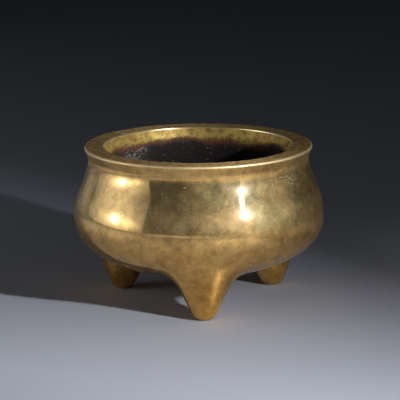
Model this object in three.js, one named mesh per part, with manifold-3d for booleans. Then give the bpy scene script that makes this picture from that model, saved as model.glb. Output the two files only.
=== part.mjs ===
// Tripod incense burner of cast brass: a heavy round bowl on three short cone feet.
// Millimetres, +Z up. The origin is on the table, under the centre of the bowl.

import * as THREE from 'three';
import { mergeVertices } from 'three/addons/utils/BufferGeometryUtils.js';
import Module from 'manifold-3d';

// Bowl, outside
const bellyRadius = 66; // widest radius
const bellyHeight = 44.6; // height of the widest place above the table
const undersideHeight = 15.2; // clear height under the middle of the bowl
const bellyFullness = 2.2; // exponent of the lower curve, 2 is an ellipse
const shoulderReach = 14.7; // how far the belly keeps its width on the way up
const neckRadius = 58.1; // narrowest radius, below the rim
const neckHeight = 76.6;
const neckReach = 10.4; // how far the neck keeps its width on the way down
const rimRadius = 60; // outer edge of the rim
const rimHeight = 82.8; // flat top of the rim
const rimFlareReach = 1.2; // how far the neck keeps its width on the way up to the rim
const rimFlareLean = 0.19; // lean of the flared wall where it meets the rim's edges
const lipRound = 1.1; // rounding of the outer edge of the rim

// Bowl, inside
const mouthRadius = 49.8; // inner edge of the rim
const mouthEdgeRound = 0.7; // rounding of the inner edge of the rim
const throatRadius = 48.6; // narrowest place of the hollow, level with the neck
const throatReach = 8; // how far the throat keeps its width on the way down
const innerShoulderReach = 12; // how far the hollow keeps its width above the belly
const wallThickness = 5; // wall at the widest place
const floorThickness = 7; // floor in the middle

// Feet
const footCount = 3;
const footCircleRadius = 47; // distance of each foot from the middle of the bowl
const footPadRadius = 3; // worn flat that the foot stands on
const footBaseRadius = 5.4; // radius of the cone where it would meet the table
const footSlope = 0.448; // growth of the cone's radius with height
const footFullHeight = 28; // height at which the cone is widest and starts to close
const footClosing = 4; // how suddenly the cone closes, as a power of the height
const footLean = 0.1; // inward lean of the cone with height
const footTipRound = 4.4; // height of the rounded tip
const skirtBlend = 14; // reach of the flare from the cone on to the belly
const skirtMargin = 0.2; // least distance of the skirt's edge from the belly's widest radius
const frontFootAngle = -Math.PI / 2;

// Joint between a foot and the bowl
const seatDepth = 1.5; // depth of the seat that the flared skirt is let into
const tenonRadius = 7;
const tenonHeight = 3; // height of the tenon above the seat
const jointClearance = 0.3; // gap all round the skirt and the tenon

// Fineness of the faceted surfaces
const turnSteps = 60; // steps round the bowl
const lowerCurveSteps = 12;
const sideCurveSteps = 9;
const rimCurveSteps = 4;
const roundSteps = 3;
const footTurnSteps = 30;
const skinRings = 15; // rings from the pad to the edge of the skirt
const skinCrowding = 1.3; // crowds the rings towards the tip, 1 is even
const seatRings = 4; // rings from the edge of the skirt to the tenon
const searchSteps = 40; // halvings in each search for a point on a surface

const cutterReach = 2; // how far the seat cutter stands out of the belly
const rayStartRise = 3; // rise of the searching rays' start above the belly's surface

const brassColour = 0xa8864a;
const footBrassColour = 0xb08848;
const brassRoughness = 0.34;

const lowerCurveDrop = bellyHeight - undersideHeight;

const wasm = await Module();
wasm.setup();

// Height of the belly's lower surface at a distance from the middle of the bowl.
// A depth above zero is measured into the metal.
function bellySurfaceHeight(radius, depth) {
  const share = Math.min(radius / (bellyRadius - depth), 1);
  const drop = (1 - share ** bellyFullness) ** (1 / bellyFullness);
  return bellyHeight - (lowerCurveDrop - depth) * drop;
}

// Distance from the belly's lower surface, negative in the metal, exact on the surface
function bellyDistance(radius, height) {
  const across = radius / bellyRadius;
  const down = Math.abs(bellyHeight - height) / lowerCurveDrop;
  const level = (across ** bellyFullness + down ** bellyFullness) ** (1 / bellyFullness);
  const slopeAcross = across ** (bellyFullness - 1) / bellyRadius;
  const slopeDown = down ** (bellyFullness - 1) / lowerCurveDrop;
  const slope = Math.hypot(slopeAcross, slopeDown) * level ** (1 - bellyFullness);
  return (level - 1) / slope;
}

// Radius of the foot's cone at a height, with its rounded tip
function footRadius(height) {
  const closing = (height / footFullHeight) ** footClosing / (footClosing + 1);
  const grown = height * (1 - closing);
  const cone = footBaseRadius + footSlope * grown;
  const below = Math.max(1 - height / footTipRound, 0);
  const rounding = 1 - Math.sqrt(1 - Math.min(below, 1) ** 2);
  return cone - (footBaseRadius - footPadRadius) * rounding;
}

// Distance from the cone of the foot that stands on the +X side, negative in the metal
function coneDistance(x, y, height) {
  const fromAxis = Math.hypot(x - footCircleRadius + footLean * height, y);
  return (fromAxis - footRadius(height)) / Math.hypot(1, footSlope);
}

// The cone and the belly melt into each other over the reach of the flare, by a cubic
// blend that leaves no edge and no jump in curvature where it ends
function footAndBellyDistance(x, y, height) {
  const cone = coneDistance(x, y, height);
  const belly = bellyDistance(Math.hypot(x, y), height);
  const nearness = Math.max(skirtBlend - Math.abs(cone - belly), 0) / skirtBlend;
  return Math.min(cone, belly) - (nearness ** 3 * skirtBlend) / 6;
}

// Halves a range until it holds only the place where the test turns true
function findTurn(low, high, test) {
  let from = low;
  let to = high;
  for (let step = 0; step < searchSteps; step += 1) {
    const middle = (from + to) / 2;
    if (test(middle)) {
      to = middle;
    } else {
      from = middle;
    }
  }
  return (from + to) / 2;
}

// Point on the belly at a reach from the foot's axis, in a direction round that axis
function pointOnBelly(angle, reach, depth) {
  const x = footCircleRadius + reach * Math.cos(angle);
  const y = reach * Math.sin(angle);
  return new THREE.Vector3(x, y, bellySurfaceHeight(Math.hypot(x, y), depth));
}

// Reach of the skirt from the foot's axis in one direction: where the flare ends.
// It stops short of the belly's widest place.
function skirtReach(angle, growth) {
  const along = footCircleRadius * Math.cos(angle);
  const across = footCircleRadius * Math.sin(angle);
  const longest = Math.sqrt((bellyRadius - skirtMargin) ** 2 - across ** 2) - along;
  return findTurn(0, longest, (reach) => {
    const point = pointOnBelly(angle, reach, 0);
    return coneDistance(point.x, point.y, point.z) > skirtBlend + growth;
  });
}

// Moves a point of the belly's surface into the metal, square to the surface
function sinkFromBelly(point, depth) {
  const radius = Math.hypot(point.x, point.y);
  const down = bellyHeight - point.z;
  const normalAcross = (radius / bellyRadius) ** (bellyFullness - 1) / bellyRadius;
  const normalDown = (down / lowerCurveDrop) ** (bellyFullness - 1) / lowerCurveDrop;
  const length = Math.hypot(normalAcross, normalDown);
  const inward = (depth * normalAcross) / length / radius;
  const up = (depth * normalDown) / length;
  return new THREE.Vector3(point.x * (1 - inward), point.y * (1 - inward), point.z + up);
}

// One closed ring of points round the foot's axis
function ringOf(pointAt) {
  const ring = [];
  for (let step = 0; step < footTurnSteps; step += 1) {
    ring.push(pointAt((2 * Math.PI * step) / footTurnSteps));
  }
  return ring;
}

// Closed solid from rings that run from its lowest point, over its side, to its top
function solidFromRings(bottom, rings, top) {
  const positions = [bottom, ...rings.flat(), top].flatMap((point) => point.toArray());
  const indices = [];
  const count = footTurnSteps;
  const topIndex = positions.length / 3 - 1;
  for (let step = 0; step < count; step += 1) {
    const next = (step + 1) % count;
    indices.push(0, 1 + next, 1 + step);
    for (let ring = 0; ring < rings.length - 1; ring += 1) {
      const low = 1 + ring * count;
      const high = low + count;
      indices.push(low + step, low + next, high + next);
      indices.push(low + step, high + next, high + step);
    }
    const last = 1 + (rings.length - 1) * count;
    indices.push(last + step, last + next, topIndex);
  }
  const geometry = new THREE.BufferGeometry();
  geometry.setAttribute('position', new THREE.Float32BufferAttribute(positions, 3));
  geometry.setIndex(indices);
  return geometry;
}

// Rings over the visible skin of the foot, from its pad to the edge of the skirt
function skinOfFoot() {
  const start = bellySurfaceHeight(footCircleRadius, 0) + rayStartRise;
  const rings = [];
  for (let index = 0; index < skinRings; index += 1) {
    const share = (index / (skinRings - 1)) ** skinCrowding;
    rings.push(ringOf((angle) => {
      const edge = pointOnBelly(angle, skirtReach(angle, 0), 0);
      const edgeReach = Math.hypot(edge.x - footCircleRadius, edge.y);
      const lowest = Math.atan2(footPadRadius, start);
      const highest = Math.atan2(edgeReach, start - edge.z);
      const tilt = lowest + share * (highest - lowest);
      const pointAt = (distance) => new THREE.Vector3(
        footCircleRadius + distance * Math.sin(tilt) * Math.cos(angle),
        distance * Math.sin(tilt) * Math.sin(angle),
        start - distance * Math.cos(tilt),
      );
      if (index === 0) {
        return pointAt(start / Math.cos(tilt));
      }
      if (index === skinRings - 1) {
        return edge;
      }
      return pointAt(findTurn(0, bellyRadius, (distance) => {
        const point = pointAt(distance);
        return footAndBellyDistance(point.x, point.y, point.z) > 0;
      }));
    }));
  }
  return rings;
}

// Rings over the hidden face: the seat of the skirt and the tenon, whose end follows the belly
function seatAndTenon(growth, depth, radius, endDepth) {
  const rings = [];
  for (let index = 0; index <= seatRings; index += 1) {
    const share = index / seatRings;
    rings.push(ringOf((angle) => {
      const edge = sinkFromBelly(pointOnBelly(angle, skirtReach(angle, growth), 0), depth);
      if (index === 0) {
        return edge;
      }
      const tenonSide = pointOnBelly(angle, radius, depth);
      const point = edge.lerp(tenonSide, share);
      point.z = bellySurfaceHeight(Math.hypot(point.x, point.y), depth);
      return point;
    }));
  }
  rings.push(ringOf((angle) => pointOnBelly(angle, radius, endDepth)));
  return rings;
}

function footGeometry() {
  const pad = new THREE.Vector3(footCircleRadius, 0, 0);
  const endDepth = seatDepth + tenonHeight;
  const hidden = seatAndTenon(0, seatDepth - jointClearance, tenonRadius, endDepth);
  return solidFromRings(pad, [...skinOfFoot(), ...hidden], pointOnBelly(0, 0, endDepth));
}

// The room that a foot takes up in the bowl, wider than the foot by the clearance
function footSeatCutter() {
  const outer = ringOf((angle) => {
    const edge = pointOnBelly(angle, skirtReach(angle, jointClearance), 0);
    return sinkFromBelly(edge, -cutterReach);
  });
  const low = new THREE.Vector3(footCircleRadius, 0, 0);
  const endDepth = seatDepth + tenonHeight + jointClearance;
  const radius = tenonRadius + jointClearance;
  const hidden = seatAndTenon(jointClearance, seatDepth, radius, endDepth);
  return solidFromRings(low, [outer, ...hidden], pointOnBelly(0, 0, endDepth));
}

function addCurve(points, curve, steps) {
  points.push(...curve.getPoints(steps).slice(1));
}

// Quarter of a superellipse from the middle of the bowl to the widest place, or back
function lowerCurve(radius, drop, outwards) {
  const points = [];
  for (let step = 0; step <= lowerCurveSteps; step += 1) {
    const share = outwards ? step / lowerCurveSteps : 1 - step / lowerCurveSteps;
    const turn = (share * Math.PI) / 2;
    points.push(new THREE.Vector2(
      radius * Math.sin(turn) ** (2 / bellyFullness),
      bellyHeight - drop * Math.max(Math.cos(turn), 0) ** (2 / bellyFullness),
    ));
  }
  return points;
}

function bowlProfile() {
  const points = lowerCurve(bellyRadius, lowerCurveDrop, true);
  points[0].x = 0;
  const lipFoot = rimHeight - lipRound;
  addCurve(points, new THREE.CubicBezierCurve(
    new THREE.Vector2(bellyRadius, bellyHeight),
    new THREE.Vector2(bellyRadius, bellyHeight + shoulderReach),
    new THREE.Vector2(neckRadius, neckHeight - neckReach),
    new THREE.Vector2(neckRadius, neckHeight),
  ), sideCurveSteps);
  const lipReach = (lipFoot - neckHeight) / 3;
  addCurve(points, new THREE.CubicBezierCurve(
    new THREE.Vector2(neckRadius, neckHeight),
    new THREE.Vector2(neckRadius, neckHeight + rimFlareReach),
    new THREE.Vector2(rimRadius - rimFlareLean * lipReach, lipFoot - lipReach),
    new THREE.Vector2(rimRadius, lipFoot),
  ), rimCurveSteps);
  addCurve(points, new THREE.EllipseCurve(
    rimRadius - lipRound, lipFoot, lipRound, lipRound, 0, Math.PI / 2,
  ), roundSteps);
  points.push(new THREE.Vector2(mouthRadius + mouthEdgeRound, rimHeight));
  addCurve(points, new THREE.EllipseCurve(
    mouthRadius + mouthEdgeRound, rimHeight - mouthEdgeRound,
    mouthEdgeRound, mouthEdgeRound, Math.PI / 2, Math.PI,
  ), roundSteps);
  const mouthTop = rimHeight - mouthEdgeRound;
  const mouthReach = (mouthTop - neckHeight) / 3;
  addCurve(points, new THREE.CubicBezierCurve(
    new THREE.Vector2(mouthRadius, mouthTop),
    new THREE.Vector2(mouthRadius - rimFlareLean * mouthReach, mouthTop - mouthReach),
    new THREE.Vector2(throatRadius, neckHeight + mouthReach),
    new THREE.Vector2(throatRadius, neckHeight),
  ), rimCurveSteps);
  const innerRadius = bellyRadius - wallThickness;
  addCurve(points, new THREE.CubicBezierCurve(
    new THREE.Vector2(throatRadius, neckHeight),
    new THREE.Vector2(throatRadius, neckHeight - throatReach),
    new THREE.Vector2(innerRadius, bellyHeight + innerShoulderReach),
    new THREE.Vector2(innerRadius, bellyHeight),
  ), sideCurveSteps);
  const inner = lowerCurve(innerRadius, lowerCurveDrop - floorThickness, false);
  inner[inner.length - 1].x = 0;
  points.push(...inner.slice(1));
  return points;
}

function solidFromGeometry(geometry) {
  const bare = geometry.clone();
  bare.deleteAttribute('normal');
  bare.deleteAttribute('uv');
  const merged = mergeVertices(bare);
  return new wasm.Manifold(new wasm.Mesh({
    numProp: 3,
    vertProperties: merged.attributes.position.array,
    triVerts: new Uint32Array(merged.index.array),
  }));
}

function geometryFromSolid(solid) {
  const mesh = solid.getMesh();
  const geometry = new THREE.BufferGeometry();
  geometry.setAttribute('position', new THREE.BufferAttribute(mesh.vertProperties, 3));
  geometry.setIndex(new THREE.BufferAttribute(mesh.triVerts, 1));
  return geometry;
}

function footAngle(index) {
  return frontFootAngle + (2 * Math.PI * index) / footCount;
}

function bowlGeometry() {
  const turned = new THREE.LatheGeometry(bowlProfile(), turnSteps);
  turned.rotateX(Math.PI / 2);
  let solid = solidFromGeometry(turned);
  for (let index = 0; index < footCount; index += 1) {
    const cutter = footSeatCutter().rotateZ(footAngle(index));
    solid = solid.subtract(solidFromGeometry(cutter));
  }
  return geometryFromSolid(solid);
}

function brass(colour) {
  return new THREE.MeshStandardMaterial({ color: colour, roughness: brassRoughness, metalness: 1 });
}

function makeBowl() {
  const bowl = new THREE.Mesh(bowlGeometry(), brass(brassColour));
  bowl.name = 'bowl';
  return bowl;
}

function makeFeet() {
  const feet = new THREE.Group();
  const names = ['foot_front', 'foot_rear_right', 'foot_rear_left'];
  names.forEach((name, index) => {
    const foot = new THREE.Mesh(footGeometry(), brass(footBrassColour));
    foot.name = name;
    foot.rotation.z = footAngle(index);
    feet.add(foot);
  });
  return feet;
}

const incenseBurner = new THREE.Group();
incenseBurner.add(makeBowl());
incenseBurner.add(makeFeet());

export default incenseBurner;
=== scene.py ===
"""Tripod incense burner of polished cast brass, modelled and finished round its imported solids."""

import math

import bpy
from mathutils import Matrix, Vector


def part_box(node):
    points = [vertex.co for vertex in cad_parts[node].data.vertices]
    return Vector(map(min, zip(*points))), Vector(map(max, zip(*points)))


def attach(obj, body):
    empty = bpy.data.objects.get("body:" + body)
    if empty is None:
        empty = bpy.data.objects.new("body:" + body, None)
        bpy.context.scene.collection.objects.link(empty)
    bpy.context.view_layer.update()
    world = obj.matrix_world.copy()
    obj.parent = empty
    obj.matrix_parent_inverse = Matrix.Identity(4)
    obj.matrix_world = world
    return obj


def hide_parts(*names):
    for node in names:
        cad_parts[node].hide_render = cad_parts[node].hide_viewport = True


bl_info = {
    "name": "Tripod Incense Burner",
    "version": (1, 0, 0),
    "blender": (4, 5, 0),
    "location": "3D View > Sidebar > Incense Burner",
    "description": "Models a brass tripod incense burner and sets it on a studio stage",
    "category": "Object",
}

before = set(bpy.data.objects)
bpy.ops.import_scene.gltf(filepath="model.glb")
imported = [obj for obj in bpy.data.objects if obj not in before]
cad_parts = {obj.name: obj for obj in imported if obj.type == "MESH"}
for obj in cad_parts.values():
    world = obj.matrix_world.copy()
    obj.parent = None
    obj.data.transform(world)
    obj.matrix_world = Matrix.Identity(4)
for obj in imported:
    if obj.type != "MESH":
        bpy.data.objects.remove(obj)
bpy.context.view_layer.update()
BOWL_LOW, BOWL_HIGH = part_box("bowl")

MM = 0.001
FOOT_NODES = ("foot_front", "foot_rear_right", "foot_rear_left")
FRONT_ANGLE = -math.pi / 2

# Steps of the bowl's outline, outside and inside, and of the turn round its axis
LOWER_STEPS = 44
SHOULDER_STEPS = 36
FLARE_STEPS = 16
ROUND_STEPS = 7
RIM_STEPS = 6
INNER_FLARE_STEPS = 14
INNER_SHOULDER_STEPS = 24
INNER_LOWER_STEPS = 26
TURN_STEPS = 240

# Steps round a foot and from its pad to its skirt, and halvings in the search for a surface
FOOT_SEGMENTS = 144
FOOT_RINGS = 96
SEARCH_STEPS = 32

ROOT_RISE = 3 * MM  # rise of the start of a foot's rays over the belly's surface
SKIRT_MARGIN = 0.2 * MM  # least distance of the skirt's edge from the belly's widest radius
SKIRT_EDGE = 0.9999  # share of the way to the skirt's edge from which a vertex lies on it
CAP_DEPTH = 1.2 * MM  # depth in the metal of the cap that closes a foot
CAP_RINGS = 8
CUT_MARGIN = 0.001 * MM  # height over its widest ring at which the globe of a foot is cut
MERGE, FOOT_MERGE = 0.004 * MM, 0.01 * MM  # vertices nearer than this are merged
SMOOTH_ANGLE = math.radians(40)  # sharper edges of a foot stay sharp
LEVEL = 0.99  # least upward part of a normal on the rim's flat top

# Roughness of the finishes, and the weight of the old wax over the polish
POLISHED, DULL = 0.064, 0.63  # the polish, and the thin film over a share of it
RUBBED = 0.11  # the feet, where they are rubbed
TURNED, THICK_FILM = 0.4, 0.78  # the rim's flat top, and the film there and inside the mouth
BRUSHED, WORN = 0.45, 0.25  # inside the mouth, and along its edge
WAX, WAX_ROUGHNESS = 0.2, 0.3
QUARTER_TURN = 0.25  # turns a drawn-out shine across the grooves


def length(name, description, default):
    """A size that a user would change, given in metres."""
    return bpy.props.FloatProperty(
        name=name, description=description, default=default, unit="LENGTH", precision=5
    )


def ratio(name, description, default):
    """A slope, power or proportion without a unit."""
    return bpy.props.FloatProperty(name=name, description=description, default=default)


def colour(name, description, hex_value):
    """A colour given by its sRGB hex value."""
    return bpy.props.FloatVectorProperty(
        name=name, description=description, default=linear(hex_value), size=4, subtype="COLOR"
    )


def linear(hex_value):
    """Turns an sRGB hex value into a linear colour."""
    parts = [int(hex_value[i : i + 2], 16) / 255 for i in (0, 2, 4)]
    low = [p / 12.92 if p <= 0.04045 else ((p + 0.055) / 1.055) ** 2.4 for p in parts]
    return (*low, 1.0)


class BurnerSizes(bpy.types.PropertyGroup):
    """Sizes of the bowl and its feet"""

    belly_radius: length("Belly radius", "Widest radius of the bowl", BOWL_HIGH.x)
    belly_height: length("Belly height", "Height of the widest place", 44.6 * MM)
    underside: length("Underside", "Clear height under the middle of the bowl", BOWL_LOW.z)
    belly_fullness: ratio("Belly fullness", "Power of the lower curve, 2 is an ellipse", 2.2)
    shoulder_reach: length("Shoulder reach", "How far the belly keeps its width upwards", 14.7 * MM)
    neck_radius: length("Neck radius", "Narrowest radius below the rim", 58.1 * MM)
    neck_height: length("Neck height", "Height of the narrowest place", 76.6 * MM)
    neck_reach: length("Neck reach", "How far the neck keeps its width downwards", 10.4 * MM)
    rim_radius: length("Rim radius", "Outer edge of the rim", 60 * MM)
    rim_height: length("Rim height", "Flat top of the rim", BOWL_HIGH.z)
    flare_reach: length("Flare reach", "How far the neck keeps its width upwards", 1.2 * MM)
    flare_lean: ratio("Flare lean", "Lean of the wall where it meets the rim's edges", 0.19)
    lip_round: length("Lip rounding", "Rounding of the outer edge of the rim", 1.1 * MM)
    mouth_radius: length("Mouth radius", "Inner edge of the rim", 49.8 * MM)
    mouth_round: length("Mouth rounding", "Rounding of the inner edge of the rim", 0.7 * MM)
    throat_radius: length("Throat radius", "Narrowest place of the hollow", 48.6 * MM)
    throat_reach: length("Throat reach", "How far the throat keeps its width downwards", 8 * MM)
    inner_reach: length("Inner reach", "How far the hollow keeps its width upwards", 12 * MM)
    wall: length("Wall", "Wall at the widest place", 5 * MM)
    floor: length("Floor", "Floor in the middle", 7 * MM)
    foot_circle: length("Foot circle", "Distance of a foot from the bowl's middle", 47 * MM)
    pad_radius: length("Pad radius", "Worn flat that a foot stands on", 3 * MM)
    cone_radius: length("Cone radius", "Radius of the cone where it would meet the table", 5.4 * MM)
    cone_slope: ratio("Cone slope", "Growth of the cone's radius with height", 0.448)
    cone_full_height: length("Cone full height", "Height at which the cone is widest", 28 * MM)
    cone_closing: ratio("Cone closing", "How suddenly the cone closes, as a power of the height", 4)
    cone_lean: ratio("Cone lean", "Inward lean of the cone with height", 0.1)
    tip_round: length("Tip rounding", "Height of the rounded tip", 4.4 * MM)
    skirt_blend: length("Skirt blend", "Reach of the flare from the cone on to the belly", 14 * MM)


class BurnerColours(bpy.types.PropertyGroup):
    """Colours of the finishes"""

    brass: colour("Brass", "Polished brass under white light", "E5C281")
    # Painted reflection: a warmer, slightly brighter brass where the metal mirrors the floor,
    # beside the paler brass above, where it mirrors the bright softbox
    floor_reflection_brass: colour("Warm brass", "Brass rubbed warmer, low down and under the lip", "F2C070")
    green_patina: colour("Green patina", "Thin dull film, where it turns green", "DACA92")
    brown_patina: colour("Brown patina", "The same film where it turns brown", "D8B67C")
    # Painted reflection: the film's warmer tone where the brass mirrors the floor
    floor_reflection_patina: colour("Warm patina", "The film where the brass is rubbed warmer", "E2BC7A")
    foot_brass: colour("Foot brass", "Brass rubbed to a deeper tone on the feet", "EEBC62")
    foot_patina: colour("Foot patina", "The film on the feet", "E2B86A")
    tarnish: colour("Tarnish", "Brown patches of the brass itself", "8E7040")
    foot_tarnish: colour("Foot tarnish", "Orange-brown patches on the feet", "A8742E")
    rim_patina: colour("Rim patina", "Duller brown film on the top of the rim", "DAB87C")
    dark_rim_patina: colour("Dark rim patina", "The same film where it is thicker", "8A6C42")
    # Partly painted highlight: the brass is worn pale along the rim's edges, and the pale colour
    # also stands in for the thin bright lines that the edges catch
    worn_edge_and_highlight: colour("Worn edge", "Brass worn pale along the edges of the rim", "F0DCAE")
    inner_brass: colour("Inner brass", "Tone of the brass inside the mouth", "CDB56F")
    rust: colour("Heat stain", "Red-brown stain where the soot ends", "5C3522")
    soot: colour("Soot", "Soot inside the bowl", "211C1B")
    ash_crust: colour("Ash crust", "Pale crust of old ash", "D8D0C4")
    stage_floor: colour("Floor", "Plain floor", "8F939F")


def deselect_all():
    if bpy.context.object and bpy.context.object.mode != "OBJECT":
        bpy.ops.object.mode_set(mode="OBJECT")
    bpy.ops.object.select_all(action="DESELECT")


def bezier(points, steps):
    """Points of a cubic curve, without its first."""
    a, b, c, d = (Vector(p) for p in points)
    out = []
    for step in range(1, steps + 1):
        t = step / steps
        s = 1 - t
        out.append(a * s**3 + b * (3 * s * s * t) + c * (3 * s * t * t) + d * t**3)
    return out


def arc(centre, radius, start, end, steps):
    """Points of a round corner, without its first."""
    out = []
    for step in range(1, steps + 1):
        angle = start + (end - start) * step / steps
        across = centre[0] + radius * math.cos(angle)
        up = centre[1] + radius * math.sin(angle)
        out.append(Vector((across, up)))
    return out


def lower_curve(z, radius, drop, steps):
    """The round underside, from the middle of the bowl out to its widest place."""
    out = []
    for step in range(steps + 1):
        turn = step / steps * math.pi / 2
        across = radius * math.sin(turn) ** (2 / z.belly_fullness)
        down = drop * max(math.cos(turn), 0) ** (2 / z.belly_fullness)
        out.append(Vector((across, z.belly_height - down)))
    out[0].x = 0
    return out


def outside_profile(z):
    """Outline of the bowl's outside, from the middle of its underside over the rim's flat top."""
    lip = z.rim_height - z.lip_round
    handle = (lip - z.neck_height) / 3
    belly, neck, rim = z.belly_radius, z.neck_radius, z.rim_radius
    points = lower_curve(z, belly, z.belly_height - z.underside, LOWER_STEPS)
    points += bezier(
        [
            (belly, z.belly_height),
            (belly, z.belly_height + z.shoulder_reach),
            (neck, z.neck_height - z.neck_reach),
            (neck, z.neck_height),
        ],
        SHOULDER_STEPS,
    )
    points += bezier(
        [
            (neck, z.neck_height),
            (neck, z.neck_height + z.flare_reach),
            (rim - z.flare_lean * handle, lip - handle),
            (rim, lip),
        ],
        FLARE_STEPS,
    )
    points += arc((rim - z.lip_round, lip), z.lip_round, 0, math.pi / 2, ROUND_STEPS)
    flat_start, flat_end = rim - z.lip_round, z.mouth_radius + z.mouth_round
    for step in range(1, RIM_STEPS + 1):
        across = flat_start + (flat_end - flat_start) * step / RIM_STEPS
        points.append(Vector((across, z.rim_height)))
    return points


def inside_profile(z):
    """Outline of the hollow, from the rim's flat top to the middle of the floor."""
    top = z.rim_height - z.mouth_round
    handle = (top - z.neck_height) / 3
    inner = z.belly_radius - z.wall
    mouth, throat = z.mouth_radius, z.throat_radius
    centre = (mouth + z.mouth_round, top)
    points = arc(centre, z.mouth_round, math.pi / 2, math.pi, ROUND_STEPS)
    points += bezier(
        [
            (mouth, top),
            (mouth - z.flare_lean * handle, top - handle),
            (throat, z.neck_height + handle),
            (throat, z.neck_height),
        ],
        INNER_FLARE_STEPS,
    )
    points += bezier(
        [
            (throat, z.neck_height),
            (throat, z.neck_height - z.throat_reach),
            (inner, z.belly_height + z.inner_reach),
            (inner, z.belly_height),
        ],
        INNER_SHOULDER_STEPS,
    )
    depth = z.belly_height - z.underside - z.floor
    bottom = lower_curve(z, inner, depth, INNER_LOWER_STEPS)
    bottom.reverse()
    return points + bottom[1:]


def weld_and_smooth():
    """Merges the doubles of the mesh in edit mode, faces it outwards and shades it smooth."""
    bpy.ops.mesh.select_all(action="SELECT")
    bpy.ops.mesh.remove_doubles(threshold=MERGE)
    bpy.ops.mesh.normals_make_consistent(inside=False)
    bpy.ops.object.mode_set(mode="OBJECT")
    bpy.ops.object.shade_smooth()


def turn_outline(name, points):
    """Draws an outline in the XZ plane by extruding a vertex, then spins it into a closed body."""
    deselect_all()
    bpy.ops.mesh.primitive_plane_add(size=MM, location=(points[0].x, 0, points[0].y))
    piece = bpy.context.object
    piece.name = name
    piece.data.name = name
    bpy.ops.object.mode_set(mode="EDIT")
    bpy.ops.mesh.select_all(action="SELECT")
    bpy.ops.mesh.merge(type="CENTER")
    for before, after in zip(points, points[1:]):
        step = (after.x - before.x, 0, after.y - before.y)
        bpy.ops.mesh.extrude_region_move(TRANSFORM_OT_translate={"value": step})
    bpy.ops.mesh.select_all(action="SELECT")
    bpy.ops.mesh.spin(steps=TURN_STEPS, angle=2 * math.pi, center=(0, 0, 0), axis=(0, 0, 1))
    weld_and_smooth()
    place_in_mesh(piece)
    return piece


def join_surfaces(piece, other):
    """Joins two turned surfaces along the ring that they share."""
    deselect_all()
    other.select_set(True)
    piece.select_set(True)
    bpy.context.view_layer.objects.active = piece
    bpy.ops.object.join()
    bpy.ops.object.mode_set(mode="EDIT")
    weld_and_smooth()


def place_in_mesh(piece):
    """Moves the object's place, turn and scale into its mesh."""
    deselect_all()
    piece.select_set(True)
    bpy.context.view_layer.objects.active = piece
    bpy.ops.object.transform_apply(location=True, rotation=True, scale=True)


def belly_surface_height(z, radius):
    """Height of the belly's lower surface at a distance from the middle of the bowl."""
    across = min(radius / z.belly_radius, 1)
    drop = (1 - across**z.belly_fullness) ** (1 / z.belly_fullness)
    return z.belly_height - (z.belly_height - z.underside) * drop


def belly_normal(z, radius, height):
    """Outward slope of the belly's lower surface, across and down."""
    drop = z.belly_height - z.underside
    across = (radius / z.belly_radius) ** (z.belly_fullness - 1) / z.belly_radius
    down = (abs(z.belly_height - height) / drop) ** (z.belly_fullness - 1) / drop
    return across, down


def belly_distance(z, radius, height):
    """Distance from the belly's lower surface, negative in the metal."""
    drop = z.belly_height - z.underside
    n = z.belly_fullness
    level = ((radius / z.belly_radius) ** n + (abs(z.belly_height - height) / drop) ** n) ** (1 / n)
    across, down = belly_normal(z, radius, height)
    return (level - 1) / (math.hypot(across, down) * level ** (1 - n))


def cone_distance(z, x, y, height):
    """Distance from the cone of a foot on the +X side, negative in the metal."""
    closing = (height / z.cone_full_height) ** z.cone_closing / (z.cone_closing + 1)
    grown = height * (1 - closing)
    below = min(max(1 - height / z.tip_round, 0), 1)
    rounding = (z.cone_radius - z.pad_radius) * (1 - math.sqrt(1 - below**2))
    radius = z.cone_radius + z.cone_slope * grown - rounding
    from_axis = math.hypot(x - z.foot_circle + z.cone_lean * height, y)
    return (from_axis - radius) / math.hypot(1, z.cone_slope)


def foot_and_belly_distance(z, x, y, height):
    """The cone and the belly melt into each other, and the pad is cut flat."""
    cone = cone_distance(z, x, y, height)
    belly = belly_distance(z, math.hypot(x, y), height)
    near = max(z.skirt_blend - abs(cone - belly), 0) / z.skirt_blend
    fill = near**3 * z.skirt_blend / 6  # of the cubic blend, at most a sixth of its reach
    return max(min(cone, belly) - fill, -height)


def find_turn(low, high, test):
    """Halves a range until it holds only the place where the test turns true."""
    for _ in range(SEARCH_STEPS):
        middle = (low + high) / 2
        if test(middle):
            high = middle
        else:
            low = middle
    return (low + high) / 2


def skirt_edge(z, angle):
    """Point on the belly where the flare of the foot ends, in a direction round its axis."""
    along = z.foot_circle * math.cos(angle)
    across = z.foot_circle * math.sin(angle)
    longest = math.sqrt((z.belly_radius - SKIRT_MARGIN) ** 2 - across**2) - along

    def point_at(reach):
        x = z.foot_circle + reach * math.cos(angle)
        y = reach * math.sin(angle)
        return x, y, belly_surface_height(z, math.hypot(x, y))

    reach = find_turn(0, longest, lambda r: cone_distance(z, *point_at(r)) > z.skirt_blend)
    return reach, Vector(point_at(reach))


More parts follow.
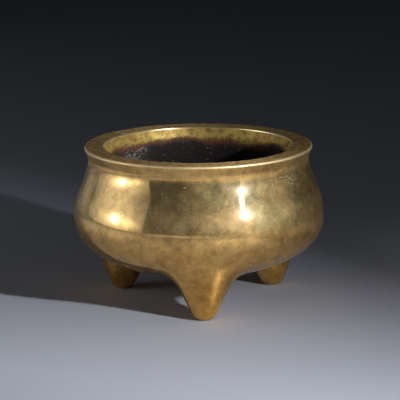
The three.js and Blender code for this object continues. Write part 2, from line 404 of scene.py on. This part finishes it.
def model_foot(z):
    """A foot on the +X side: a globe shaped by rays from inside the foot's root."""
    root = Vector((z.foot_circle, 0, belly_surface_height(z, z.foot_circle) + ROOT_RISE))
    deselect_all()
    bpy.ops.mesh.primitive_uv_sphere_add(
        segments=FOOT_SEGMENTS, ring_count=2 * FOOT_RINGS, radius=z.cone_radius, location=root
    )
    piece = bpy.context.object
    place_in_mesh(piece)
    bpy.ops.object.mode_set(mode="EDIT")
    bpy.ops.mesh.select_all(action="SELECT")
    # The cut leaves the widest ring and the next one, and both end on the skirt's edge
    cut = root + Vector((0, 0, CUT_MARGIN))
    bpy.ops.mesh.bisect(plane_co=cut, plane_no=(0, 0, 1), clear_outer=True, use_fill=False)
    bpy.ops.mesh.select_all(action="SELECT")
    bpy.ops.mesh.remove_doubles(threshold=FOOT_MERGE)
    bpy.ops.object.mode_set(mode="OBJECT")
    edges = {}
    for vertex in piece.data.vertices:
        out = vertex.co - root
        opening = math.acos(max(min(-out.z / out.length, 1), -1))
        share = min(opening / (math.pi / 2), 1)
        angle = math.atan2(out.y, out.x)
        key = round(angle % (2 * math.pi), 5)
        if key not in edges:
            edges[key] = skirt_edge(z, angle)
        reach, edge = edges[key]
        if share > SKIRT_EDGE:
            vertex.co = edge
            continue
        tilt = share * math.atan2(reach, root.z - edge.z)
        aside = math.sin(tilt)
        ray = Vector((aside * math.cos(angle), aside * math.sin(angle), -math.cos(tilt)))
        distance = find_turn(
            0, z.belly_radius, lambda d: foot_and_belly_distance(z, *(root + ray * d)) > 0
        )
        vertex.co = root + ray * distance
    return piece


def close_foot(z, piece):
    """Closes the foot with a cap that follows the belly's surface inside the metal of the bowl."""
    bpy.context.view_layer.objects.active = piece
    bpy.ops.object.mode_set(mode="EDIT")
    bpy.ops.mesh.select_all(action="DESELECT")
    bpy.ops.mesh.select_mode(type="EDGE")
    bpy.ops.mesh.select_non_manifold()
    # The first ring goes straight into the metal, and the others are drawn to the foot's middle
    for ring in range(CAP_RINGS):
        shrink = (CAP_RINGS - ring) / (CAP_RINGS - ring + 1) if ring else 1
        bpy.ops.mesh.extrude_region_move(TRANSFORM_OT_translate={"value": (0, 0, 0)})
        bpy.ops.object.mode_set(mode="OBJECT")
        for vertex in piece.data.vertices:
            if vertex.select:
                x = z.foot_circle + (vertex.co.x - z.foot_circle) * shrink
                y = vertex.co.y * shrink
                radius = math.hypot(x, y)
                height = belly_surface_height(z, radius)
                across, down = belly_normal(z, radius, height)
                depth = CAP_DEPTH / math.hypot(across, down)
                inward = 0 if ring else depth * across / radius
                vertex.co = (x * (1 - inward), y * (1 - inward), height + depth * down)
        bpy.ops.object.mode_set(mode="EDIT")
    bpy.ops.mesh.edge_face_add()
    bpy.ops.mesh.select_mode(type="VERT")
    bpy.ops.mesh.select_all(action="SELECT")
    bpy.ops.mesh.normals_make_consistent(inside=False)
    bpy.ops.object.mode_set(mode="OBJECT")
    bpy.ops.object.shade_smooth_by_angle(angle=SMOOTH_ANGLE)


def add_node(tree, kind, links, **settings):
    """Adds a shader node. A link is another node, one of its sockets, or a plain value."""
    node = tree.nodes.new("ShaderNode" + kind)
    for name, value in settings.items():
        setattr(node, name, value)
    for key, source in links.items():
        if isinstance(key, int):
            target = node.inputs[key]
        else:
            target = next(socket for socket in node.inputs if socket.name == key and socket.enabled)
        if isinstance(source, bpy.types.Node):
            source = next(socket for socket in source.outputs if socket.enabled)
        if isinstance(source, bpy.types.NodeSocket):
            tree.links.new(source, target)
        else:
            target.default_value = source
    return node


def new_tree(name):
    """An empty material, and its node tree."""
    material = bpy.data.materials.new(name)
    material.use_nodes = True
    material.node_tree.nodes.clear()
    return material, material.node_tree


def brass_under_film(tree, tones, share, bump, roughness=(POLISHED, DULL), turned=0.0, wax=WAX):
    """Polished brass with a dull film over a share of it: two shines, side by side.

    Old wax over both puts a whiter, softer shine round the image of each lamp.
    Metal turned on a lathe has fine grooves round it, and draws its shine out across them.
    """
    tangent = add_node(tree, "Tangent", {}, direction_type="RADIAL", axis="Z")
    shines = [
        add_node(
            tree,
            "BsdfPrincipled",
            {
                "Base Color": tone,
                "Metallic": 1.0,
                "Roughness": rough,
                "Anisotropic": turned,
                "Anisotropic Rotation": QUARTER_TURN,
                "Tangent": tangent,
                "Normal": bump,
                "Coat Weight": wax,
                "Coat Roughness": WAX_ROUGHNESS,
            },
        )
        for tone, rough in zip(tones, roughness)
    ]
    return add_node(tree, "MixShader", {0: share, 1: shines[0], 2: shines[1]})


def near_places(tree, where, places, reach):
    """One near any of the places, and falling to zero at the reach."""
    nearness = 0.0
    for place in places:
        away = add_node(tree, "VectorMath", {0: where, 1: place}, operation="DISTANCE")
        near = add_node(
            tree,
            "MapRange",
            {"Value": away.outputs["Value"], "From Min": reach, "From Max": 0.0},
            interpolation_type="SMOOTHSTEP",
        )
        nearness = add_node(tree, "Math", {0: near, 1: nearness}, operation="MAXIMUM")
    return nearness


def thin_lines(tree, vector, size, band):
    """Wandering hairlines: the places where a distorted noise is within a band of its middle."""
    noise = add_node(
        tree, "TexNoise", {"Vector": vector, "Scale": 1 / size, "Detail": 2.0, "Distortion": 1.5}
    )
    return add_node(tree, "Math", {0: noise, 1: 0.5, 2: band}, operation="COMPARE")


# Places and reaches of the small marks, in metres: knocks on the shoulder and the belly, crumbs on
# the rim, and the stretch of the inner wall with the most crust
KNOCKS, KNOCK_REACH = ((-0.0098, -0.0579, 0.0714), (0.0434, -0.0487, 0.0521)), 1 * MM
RIM_CRUMBS, CRUMB_REACH = ((-0.0416, 0.0378, 0.0828), (-0.0395, 0.035, 0.0828)), 2.4 * MM
CRUST, CRUST_REACH = (-0.032, 0.037, 0.0705), 12 * MM

# The scuff on the shoulder is 45 mm to the right and 72 mm high. Its place and reach are given
# after the stretch that makes its scratches lie level.
SCRATCH_STRETCH = (0.7, 0.7, 2.0)
SCUFF, SCUFF_REACH = (0.0315, -0.0262, 0.1445), 18 * MM


def polished_cast_brass(z, c, name, foot):
    """Cast brass, ground smooth and polished by hand long ago.

    The eye sees a soft mirror with a warm gold tone, and over it a thin, cloudy, dull film,
    which spreads the light of the lamps into a mottled glow where the mirror shows a dark room.
    A foot is rubbed round its middle, which draws the shine there into an upright streak.
    """
    material, tree = new_tree(name)
    where = add_node(tree, "TexCoord", {}).outputs["Object"]
    height = add_node(tree, "SeparateXYZ", {"Vector": where}).outputs["Z"]

    # The film lies in clouds, 9 mm wide, with smaller ones in them. Its real grain is under
    # 0.1 mm wide, and is drawn 0.7 mm wide, so that it shows. Its tone wanders over 17 mm.
    cloud = add_node(
        tree, "TexNoise", {"Vector": where, "Scale": 1 / (9 * MM), "Detail": 6.0, "Roughness": 0.7}
    )
    grain = add_node(tree, "TexNoise", {"Vector": where, "Scale": 1 / (0.7 * MM), "Detail": 3.0})
    tone = add_node(tree, "TexNoise", {"Vector": where, "Scale": 1 / (17 * MM), "Detail": 3.0})
    grain_weight = 0.4
    mottle = add_node(
        tree, "Math", {0: grain, 1: grain_weight, 2: cloud}, operation="MULTIPLY_ADD"
    )
    film = add_node(
        tree,
        "MapRange",
        {"Value": mottle, "From Min": 0.48, "From Max": 0.92, "To Min": 0.08, "To Max": 0.36},
    )

    browner = add_node(tree, "MapRange", {"Value": tone, "From Min": 0.3, "From Max": 0.7})
    patina = add_node(
        tree, "Mix", {"Factor": browner, "A": c.green_patina, "B": c.brown_patina}, data_type="RGBA"
    )

    # Painted reflection: at the bowl's widest place and below, and under the lip, where the brass
    # mirrors the floor, it takes a warmer, slightly brighter tone than the paler brass between,
    # where it mirrors the bright softbox
    low = add_node(
        tree,
        "MapRange",
        {"Value": height, "From Min": z.belly_height + 9 * MM, "From Max": z.belly_height - 1 * MM},
        interpolation_type="SMOOTHSTEP",
    )
    high = add_node(
        tree,
        "MapRange",
        {
            "Value": height,
            "From Min": z.neck_height - 4 * MM,
            "From Max": z.neck_height - 1 * MM,
            "To Max": 0.9,
        },
        interpolation_type="SMOOTHSTEP",
    )
    floor_reflection_tone = add_node(tree, "Math", {0: low, 1: high}, operation="ADD")
    brass = add_node(
        tree, "Mix", {"Factor": floor_reflection_tone, "A": c.brass, "B": c.floor_reflection_brass}, data_type="RGBA"
    )
    film_colour = add_node(
        tree, "Mix", {"Factor": floor_reflection_tone, "A": patina, "B": c.floor_reflection_patina}, data_type="RGBA"
    )

    # Towards the feet its tone is deeper still
    deep_start, deep_full = 36 * MM, 12 * MM
    deep = add_node(
        tree,
        "MapRange",
        {"Value": height, "From Min": deep_start, "From Max": deep_full},
        interpolation_type="SMOOTHSTEP",
    )
    brass = add_node(tree, "Mix", {"Factor": deep, "A": brass, "B": c.foot_brass}, data_type="RGBA")
    film_colour = add_node(
        tree, "Mix", {"Factor": deep, "A": film_colour, "B": c.foot_patina}, data_type="RGBA"
    )

    # Hands have dulled a belt round the bowl, just above its widest place
    belt_middle = z.belly_height + 7 * MM
    off_belt = add_node(tree, "Math", {0: height, 1: belt_middle}, operation="SUBTRACT")
    off_belt = add_node(tree, "Math", {0: off_belt}, operation="ABSOLUTE")
    belt = add_node(
        tree,
        "MapRange",
        {"Value": off_belt, "From Min": 11 * MM, "From Max": 4 * MM, "To Max": 0.12},
        interpolation_type="SMOOTHSTEP",
    )
    film = add_node(tree, "Math", {0: film, 1: belt}, operation="ADD")
    film_under_lip = 0.25
    film = add_node(tree, "Math", {0: high, 1: film_under_lip, 2: film}, operation="MULTIPLY_ADD")

    # Tarnish darkens the brass in patches, 6 mm wide with smaller ones in them
    patch = add_node(
        tree, "TexNoise", {"Vector": where, "Scale": 1 / (6 * MM), "Detail": 6.0, "Roughness": 0.68}
    )
    tarnish, darkest = (c.foot_tarnish, 0.75) if foot else (c.tarnish, 0.6)
    tarnished = add_node(
        tree, "MapRange", {"Value": patch, "From Min": 0.42, "From Max": 0.7, "To Max": darkest}
    )
    dark_brass = add_node(
        tree, "Mix", {"Factor": tarnished, "A": brass, "B": tarnish}, data_type="RGBA"
    )
    dark_film = add_node(
        tree, "Mix", {"Factor": tarnished, "A": film_colour, "B": tarnish}, data_type="RGBA"
    )

    # The rim's outer edge is worn pale and dull, and the pale colour also paints a thin highlight
    # along the lip
    lip_foot = z.rim_height - z.lip_round
    edge = add_node(
        tree,
        "MapRange",
        {"Value": height, "From Min": lip_foot - 0.4 * MM, "From Max": lip_foot + 0.3 * MM},
    )
    film_or_edge = add_node(
        tree, "Mix", {"Factor": edge, "A": dark_film, "B": c.worn_edge_and_highlight}, data_type="RGBA"
    )

    # Hairline scratches scuff the shoulder on the right. They are too fine to show, and are
    # drawn a little over 0.1 mm wide.
    level = add_node(tree, "Mapping", {"Vector": where, "Scale": SCRATCH_STRETCH})
    hairline = thin_lines(tree, level, 4 * MM, 0.018)
    scuffed = near_places(tree, level, (SCUFF,), SCUFF_REACH)
    scratch = add_node(tree, "Math", {0: hairline, 1: scuffed}, operation="MULTIPLY")
    film_or_edge = add_node(
        tree, "Mix", {"Factor": scratch, "A": film_or_edge, "B": c.worn_edge_and_highlight}, data_type="RGBA"
    )
    film_on_edge, film_on_scratch = 0.35, 0.4
    edge_share = add_node(
        tree, "Math", {0: edge, 1: film_on_edge, 2: film}, operation="MULTIPLY_ADD"
    )
    share = add_node(
        tree,
        "Math",
        {0: scratch, 1: film_on_scratch, 2: edge_share},
        operation="MULTIPLY_ADD",
        use_clamp=True,
    )
    fine = add_node(tree, "Bump", {"Strength": 0.2, "Distance": 0.01 * MM, "Height": cloud})
    knock = near_places(tree, where, KNOCKS, KNOCK_REACH)
    bump = add_node(
        tree,
        "Bump",
        {"Strength": 1.0, "Distance": 0.25 * MM, "Height": knock, "Normal": fine},
        invert=True,
    )
    surface = brass_under_film(tree, (dark_brass, film_or_edge), share, bump)
    if foot:
        rubbed = brass_under_film(
            tree, (dark_brass, dark_film), share, bump, roughness=(RUBBED, DULL), turned=0.95
        )
        foot_middle = 19 * MM
        off_middle = add_node(tree, "Math", {0: height, 1: foot_middle}, operation="SUBTRACT")
        off_middle = add_node(tree, "Math", {0: off_middle}, operation="ABSOLUTE")
        middle = add_node(
            tree,
            "MapRange",
            {"Value": off_middle, "From Min": 13 * MM, "From Max": 3 * MM},
            interpolation_type="SMOOTHSTEP",
        )
        surface = add_node(tree, "MixShader", {0: middle, 1: surface, 2: rubbed})
    add_node(tree, "OutputMaterial", {"Surface": surface})
    return material


def turned_rim_brass(c):
    """The rim's flat top: brass turned flat on a lathe, under a thick brown film.

    The eye sees a dull brown ring that brightens where the grooves face the lamps.
    """
    material, tree = new_tree("turned_rim_brass")
    where = add_node(tree, "TexCoord", {}).outputs["Object"]

    # Clouds of film, 3 mm wide with smaller ones in them, and two crumbs of pale crust
    cloud = add_node(
        tree, "TexNoise", {"Vector": where, "Scale": 1 / (3 * MM), "Detail": 6.0, "Roughness": 0.8}
    )
    thicker = add_node(tree, "MapRange", {"Value": cloud, "From Min": 0.42, "From Max": 0.6})
    film = add_node(
        tree,
        "Mix",
        {"Factor": thicker, "A": c.rim_patina, "B": c.dark_rim_patina},
        data_type="RGBA",
    )
    share = add_node(tree, "MapRange", {"Value": thicker, "To Min": 0.5, "To Max": 0.85})
    bump = add_node(tree, "Bump", {"Strength": 0.3, "Distance": 0.02 * MM, "Height": cloud})
    brass = brass_under_film(
        tree,
        (c.rim_patina, film),
        share,
        bump,
        roughness=(TURNED, THICK_FILM),
        turned=0.4,
        wax=0.0,
    )
    crumb = near_places(tree, where, RIM_CRUMBS, CRUMB_REACH)
    raised = add_node(tree, "Bump", {"Strength": 1.0, "Distance": 1.5 * MM, "Height": crumb})
    crust = add_node(
        tree, "BsdfPrincipled", {"Base Color": c.ash_crust, "Roughness": 0.7, "Normal": raised}
    )
    surface = add_node(tree, "MixShader", {0: crumb, 1: brass, 2: crust})
    add_node(tree, "OutputMaterial", {"Surface": surface})
    return material


def sooted_cast_brass(z, c):
    """Inside of the bowl: brushed brass at the mouth, and below it raw casting under soot.

    The eye sees a patchy gold band, a ragged red-brown heat stain, and then charcoal grey.
    """
    material, tree = new_tree("sooted_cast_brass")
    where = add_node(tree, "TexCoord", {}).outputs["Object"]
    height = add_node(tree, "SeparateXYZ", {"Vector": where}).outputs["Z"]
    upright = add_node(tree, "Mapping", {"Vector": where, "Scale": (1.0, 1.0, 0.5)})

    # Drips of soot stand upright, 1.5 mm wide, on a broader wave of its edge, 16 mm wide
    drips = add_node(
        tree,
        "TexNoise",
        {"Vector": upright, "Scale": 1 / (1.5 * MM), "Detail": 4.0, "Roughness": 0.7},
    )
    wave = add_node(tree, "TexNoise", {"Vector": where, "Scale": 1 / (16 * MM), "Detail": 3.0})
    wave_weight, stray = 2.0, 2 * MM
    ragged = add_node(
        tree, "Math", {0: wave, 1: wave_weight, 2: drips}, operation="MULTIPLY_ADD"
    )
    shift = add_node(
        tree,
        "MapRange",
        {"Value": ragged, "From Min": 1.1, "From Max": 1.9, "To Min": -stray, "To Max": stray},
    )
    level = add_node(tree, "Math", {0: height, 1: shift}, operation="ADD")
    stain_top = z.rim_height - 5.8 * MM
    stain = add_node(
        tree,
        "MapRange",
        {"Value": level, "From Min": stain_top, "From Max": stain_top - 2.2 * MM},
        interpolation_type="SMOOTHSTEP",
    )
    black = add_node(
        tree,
        "MapRange",
        {"Value": level, "From Min": stain_top - 2 * MM, "From Max": stain_top - 4.6 * MM},
        interpolation_type="SMOOTHSTEP",
    )

    # The band is tarnished in patches, 4 mm wide with smaller ones in them, and the mouth's edge is
    # worn pale, a colour that also paints the bright line along it
    patch = add_node(
        tree, "TexNoise", {"Vector": where, "Scale": 1 / (4 * MM), "Detail": 6.0, "Roughness": 0.68}
    )
    tarnished = add_node(
        tree, "MapRange", {"Value": patch, "From Min": 0.42, "From Max": 0.64, "To Max": 0.95}
    )
    brass = add_node(
        tree, "Mix", {"Factor": tarnished, "A": c.inner_brass, "B": c.tarnish}, data_type="RGBA"
    )
    mouth_foot = z.rim_height - z.mouth_round
    edge = add_node(
        tree,
        "MapRange",
        {"Value": height, "From Min": mouth_foot - 0.3 * MM, "From Max": mouth_foot},
    )
    share = add_node(tree, "MapRange", {"Value": edge, "To Min": 0.84, "To Max": 0.25})
    tone = add_node(tree, "Mix", {"Factor": edge, "A": brass, "B": c.worn_edge_and_highlight}, data_type="RGBA")
    fine = add_node(tree, "Bump", {"Strength": 0.2, "Distance": 0.02 * MM, "Height": patch})
    shine = add_node(tree, "MapRange", {"Value": edge, "To Min": BRUSHED, "To Max": WORN})
    metal = brass_under_film(
        tree, (tone, tone), share, fine, roughness=(shine, THICK_FILM), wax=0.0
    )

    # Old ash has left faint flecks all over the soot, and on the left of the back wall a crust of
    # squiggles, drawn a little over 0.1 mm wide
    stained = add_node(tree, "Mix", {"Factor": black, "A": c.rust, "B": c.soot}, data_type="RGBA")
    grit = add_node(
        tree,
        "TexNoise",
        {"Vector": where, "Scale": 1 / (2.5 * MM), "Detail": 5.0, "Roughness": 0.65},
    )
    squiggle = thin_lines(tree, where, 3 * MM, 0.017)
    crusted_place = near_places(tree, where, (CRUST,), CRUST_REACH)
    gritty = add_node(
        tree, "MapRange", {"Value": grit, "From Min": 0.6, "From Max": 0.75, "To Max": 0.3}
    )
    crust = add_node(
        tree,
        "Math",
        {0: squiggle, 1: crusted_place, 2: gritty},
        operation="MULTIPLY_ADD",
        use_clamp=True,
    )
    crust_below = add_node(tree, "Math", {0: crust, 1: black}, operation="MULTIPLY")
    crusted = add_node(
        tree, "Mix", {"Factor": crust_below, "A": stained, "B": c.ash_crust}, data_type="RGBA"
    )
    bump = add_node(tree, "Bump", {"Strength": 0.6, "Distance": 0.3 * MM, "Height": grit})
    soot = add_node(
        tree, "BsdfPrincipled", {"Base Color": crusted, "Roughness": 0.75, "Normal": bump}
    )
    surface = add_node(tree, "MixShader", {0: stain, 1: metal, 2: soot})
    add_node(tree, "OutputMaterial", {"Surface": surface})
    return material


def matt_paper(c):
    """Seamless paper roll under the object: flat, matt and plain."""
    material, tree = new_tree("matt_paper")
    shader = add_node(
        tree,
        "BsdfPrincipled",
        {"Base Color": c.stage_floor, "Roughness": 0.8, "Specular IOR Level": 0.2},
    )
    add_node(tree, "OutputMaterial", {"Surface": shader})
    return material


FLOOR_SIZE = 8
ROOM_COLOUR, ROOM_BRIGHTNESS = (0.95, 0.97, 1.0, 1), 0.018

# Each lamp: name, azimuth, distance over the floor and height, the place that it faces, its width
# and height, its brightness towards that place, and the spread of its grid, in degrees. A lamp
# without a grid is open.
OPEN = 180
LAMPS = (
    # Small key lamp in front to the right, with fainter stretches above and below it
    ("key_lamp", 39.9, 0.6, 0.265, (-0.15, -0.1, 0), (0.025, 0.03), 4800.0, 51),
    ("key_tail", 39.9, 0.59, 0.355, (0, 0, 0.06), (0.044, 0.16), 7.0, OPEN),
    ("key_foot", 40.2, 0.59, 0.12, (0, 0, 0.05), (0.05, 0.2), 0.5, OPEN),
    # Lamps with grids, facing the floor in front, at both sides and behind on the left: the
    # belly mirrors their pools of light, and not the lamps
    ("front_pool", -22, 0.83, 0.8, (-0.311, -0.77, 0), (0.8, 0.4), 30.0, 62),
    ("left_pool", -90, 0.36, 0.25, (-0.36, 0, 0), (0.24, 0.4), 20.0, 48),
    ("right_pool", 90, 0.31, 0.4, (0.31, 0, 0), (0.3, 0.15), 9.0, 48),
    ("rear_pool", -136, 0.75, 0.5, (-0.521, 0.54, 0), (0.25, 0.25), 15.0, 58),
)


def direction(azimuth, elevation):
    """Direction from the object, with azimuth 0 towards the viewer and 90 to the right."""
    a, e = math.radians(azimuth), math.radians(elevation)
    return Vector((math.sin(a) * math.cos(e), -math.cos(a) * math.cos(e), math.sin(e)))


def grid_gain(spread):
    """How much a lamp's grid strengthens its light straight ahead."""
    if spread == OPEN:
        return 1
    half = math.radians(spread) / 2
    return math.tan(half) / (math.tan(half) - half)


def add_lamp(name, azimuth, distance, height, aim, size, radiance, spread):
    """A soft rectangular lamp, with the brightness per area that it has towards its aim."""
    lamp = bpy.data.lights.new(name, "AREA")
    lamp.shape = "RECTANGLE"
    lamp.size, lamp.size_y = size
    lamp.spread = math.radians(spread)
    lamp.energy = radiance * math.pi * size[0] * size[1] / grid_gain(spread)
    holder = bpy.data.objects.new(name, lamp)
    bpy.context.scene.collection.objects.link(holder)
    place = direction(azimuth, 0) * distance + Vector((0, 0, height))
    facing = place - Vector(aim)
    holder.location = place
    holder.rotation_euler = facing.to_track_quat("Z", "Y").to_euler()
    return lamp


# Each upright cloth that faces the object: name, azimuth, distance, height and size, its plain
# brightness, and its glows, with the place, squeeze, reach and brightness of each.
CLOTHS = (
    # Softbox on the left, with a bright core low on its cloth
    (
        "left_softbox",
        -87.4,
        0.72,
        0.32,
        (1.0, 0.62),
        0.09,
        (
            ((0.05, -0.14, 0), (1.06, 1.4, 1.0), 0.72, 1.15),
            ((0.11, -0.185, 0), (0.42, 1.2, 1.0), 0.17, 1.7),
            ((0.05, -0.185, 0), (0.7, 0.8, 1.0), 0.075, 9.0),
        ),
    ),
    # Dim cloths on the right and behind on the left, which catch some of the light
    (
        "right_cloth",
        84,
        0.8,
        0.26,
        (0.6, 0.5),
        0.0,
        (((0, 0, 0), (1.0, 1.2, 1.0), 0.3, 0.24),),
    ),
    (
        "rear_cloth",
        -138,
        1.0,
        0.2,
        (1.0, 0.4),
        0.0,
        (((0, -0.05, 0), (1.0, 1.6, 1.0), 0.5, 0.32),),
    ),
)


def add_lit_cloth(name, azimuth, distance, height, size, plain, glows):
    """An upright cloth whose light falls off smoothly from its bright places."""
    lamp = add_lamp(name, azimuth, distance, height, (0, 0, height), size, 1.0, OPEN)
    lamp.use_nodes = True
    tree = lamp.node_tree
    tree.nodes.clear()
    where = add_node(tree, "TexCoord", {}).outputs["Object"]
    strength = plain
    for centre, squeeze, reach, brightness in glows:
        offset = add_node(tree, "VectorMath", {0: where, 1: centre}, operation="SUBTRACT")
        squeezed = add_node(tree, "VectorMath", {0: offset, 1: squeeze}, operation="MULTIPLY")
        away = add_node(tree, "VectorMath", {0: squeezed}, operation="LENGTH")
        glow = add_node(
            tree,
            "MapRange",
            {
                "Value": away.outputs["Value"],
                "From Max": reach,
                "To Min": brightness,
                "To Max": 0.0,
            },
            interpolation_type="SMOOTHSTEP",
        )
        strength = add_node(tree, "Math", {0: glow, 1: strength}, operation="ADD")
    light = add_node(tree, "Emission", {"Strength": strength})
    add_node(tree, "OutputLight", {"Surface": light})


def set_world():
    """A dim room around the lamps."""
    world = bpy.data.worlds.new("studio_room")
    world.use_nodes = True
    background = world.node_tree.nodes["Background"]
    background.inputs["Color"].default_value = ROOM_COLOUR
    background.inputs["Strength"].default_value = ROOM_BRIGHTNESS
    bpy.context.scene.world = world


# The place that the camera stands off from, and the pixel of the picture that shows it. The
# camera's distance is in metres, and its angles are in degrees.
TARGET, TARGET_PIXEL = (0, 0, 45 * MM), (199.0, 213.9)
CAMERA_DISTANCE, CAMERA_AZIMUTH, CAMERA_ELEVATION, CAMERA_ROLL = 1.24, -2.8, 12.75, -0.6
FOCAL_LENGTH, SENSOR_WIDTH = 210.3, 36.0  # in millimetres
PICTURE_SIZE = 400  # width and height, in pixels


def set_camera():
    """The camera stands where the photograph's stood, and frames the same picture."""
    per_metre = FOCAL_LENGTH / SENSOR_WIDTH * PICTURE_SIZE / CAMERA_DISTANCE
    target = Vector(TARGET)
    away = direction(CAMERA_AZIMUTH, CAMERA_ELEVATION)
    level = direction(CAMERA_AZIMUTH + 90, 0)
    upright = away.cross(level)
    roll = math.radians(CAMERA_ROLL)
    right = level * math.cos(roll) + upright * math.sin(roll)
    up = upright * math.cos(roll) - level * math.sin(roll)
    offset_right = TARGET_PIXEL[0] - PICTURE_SIZE / 2
    offset_down = TARGET_PIXEL[1] - PICTURE_SIZE / 2
    aim = target - right * (offset_right / per_metre) + up * (offset_down / per_metre)
    data = bpy.data.cameras.new("camera")
    data.lens = FOCAL_LENGTH
    data.sensor_width = SENSOR_WIDTH
    camera = bpy.data.objects.new("camera", data)
    bpy.context.scene.collection.objects.link(camera)
    camera.location = target + away * CAMERA_DISTANCE
    look = (camera.location - aim).normalized()
    right = (right - look * right.dot(look)).normalized()
    up = look.cross(right)
    matrix = camera.matrix_world.to_3x3()
    matrix.col[0], matrix.col[1], matrix.col[2] = right, up, look
    camera.rotation_euler = matrix.to_euler()
    bpy.context.scene.camera = camera


class BURNER_OT_bowl(bpy.types.Operator):
    """Turn the bowl's outline outside and inside, and join the two surfaces into one casting"""

    bl_idname = "burner.bowl"
    bl_label = "Bowl"

    def execute(self, context):
        z = context.scene.burner_sizes
        c = context.scene.burner_colours
        outside = outside_profile(z)
        bowl = turn_outline("burner_bowl", outside)
        bowl.data.materials.append(polished_cast_brass(z, c, "polished_cast_brass", False))
        bowl.data.materials.append(turned_rim_brass(c))
        for face in bowl.data.polygons:
            if face.normal.z > LEVEL and face.center.z > z.belly_height:
                face.material_index = 1
        hollow = turn_outline("bowl_hollow", [outside[-1]] + inside_profile(z))
        hollow.data.materials.append(sooted_cast_brass(z, c))
        join_surfaces(bowl, hollow)
        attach(bowl, "root")
        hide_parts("bowl")
        return {"FINISHED"}


class BURNER_OT_feet(bpy.types.Operator):
    """Model one foot that flares into the belly, and set a copy of it at each place"""

    bl_idname = "burner.feet"
    bl_label = "Feet"

    def execute(self, context):
        z = context.scene.burner_sizes
        c = context.scene.burner_colours
        foot = model_foot(z)
        close_foot(z, foot)
        foot.data.materials.append(polished_cast_brass(z, c, "rubbed_foot_brass", True))
        for index, node in enumerate(FOOT_NODES):
            copy = foot.copy()
            copy.data = foot.data.copy()
            context.scene.collection.objects.link(copy)
            copy.name = "burner_" + node
            copy.data.name = copy.name
            copy.rotation_euler.z = FRONT_ANGLE + 2 * math.pi * index / len(FOOT_NODES)
            place_in_mesh(copy)
            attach(copy, "root")
            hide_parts(node)
        bpy.data.objects.remove(foot)
        return {"FINISHED"}


class BURNER_OT_stage(bpy.types.Operator):
    """Set the floor, the lamps and the camera of a plain studio"""

    bl_idname = "burner.stage"
    bl_label = "Stage"

    def execute(self, context):
        deselect_all()
        bpy.ops.mesh.primitive_plane_add(size=FLOOR_SIZE, location=(0, 0, 0))
        floor = context.object
        floor.name = "stage_floor"
        floor.data.materials.append(matt_paper(context.scene.burner_colours))
        set_world()
        for lamp in LAMPS:
            add_lamp(*lamp)
        for lamp in CLOTHS:
            add_lit_cloth(*lamp)
        set_camera()
        context.scene.view_settings.view_transform = "Standard"
        return {"FINISHED"}


class BURNER_PT_panel(bpy.types.Panel):
    """Sizes, colours and steps of the incense burner"""

    bl_idname = "BURNER_PT_panel"
    bl_label = "Incense Burner"
    bl_space_type = "VIEW_3D"
    bl_region_type = "UI"
    bl_category = "Incense Burner"

    def draw(self, context):
        column = self.layout.column()
        for operator in (BURNER_OT_bowl, BURNER_OT_feet, BURNER_OT_stage):
            column.operator(operator.bl_idname)
        for group in (context.scene.burner_sizes, context.scene.burner_colours):
            box = column.box()
            for key in group.__annotations__:
                box.prop(group, key)


CLASSES = (
    BurnerSizes,
    BurnerColours,
    BURNER_OT_bowl,
    BURNER_OT_feet,
    BURNER_OT_stage,
    BURNER_PT_panel,
)


def register():
    for cls in CLASSES:
        bpy.utils.register_class(cls)
    bpy.types.Scene.burner_sizes = bpy.props.PointerProperty(type=BurnerSizes)
    bpy.types.Scene.burner_colours = bpy.props.PointerProperty(type=BurnerColours)


def unregister():
    del bpy.types.Scene.burner_colours
    del bpy.types.Scene.burner_sizes
    for cls in reversed(CLASSES):
        bpy.utils.unregister_class(cls)


def main():
    register()
    bpy.ops.burner.bowl()
    bpy.ops.burner.feet()
    bpy.ops.burner.stage()


if __name__ == "__main__":
    main()
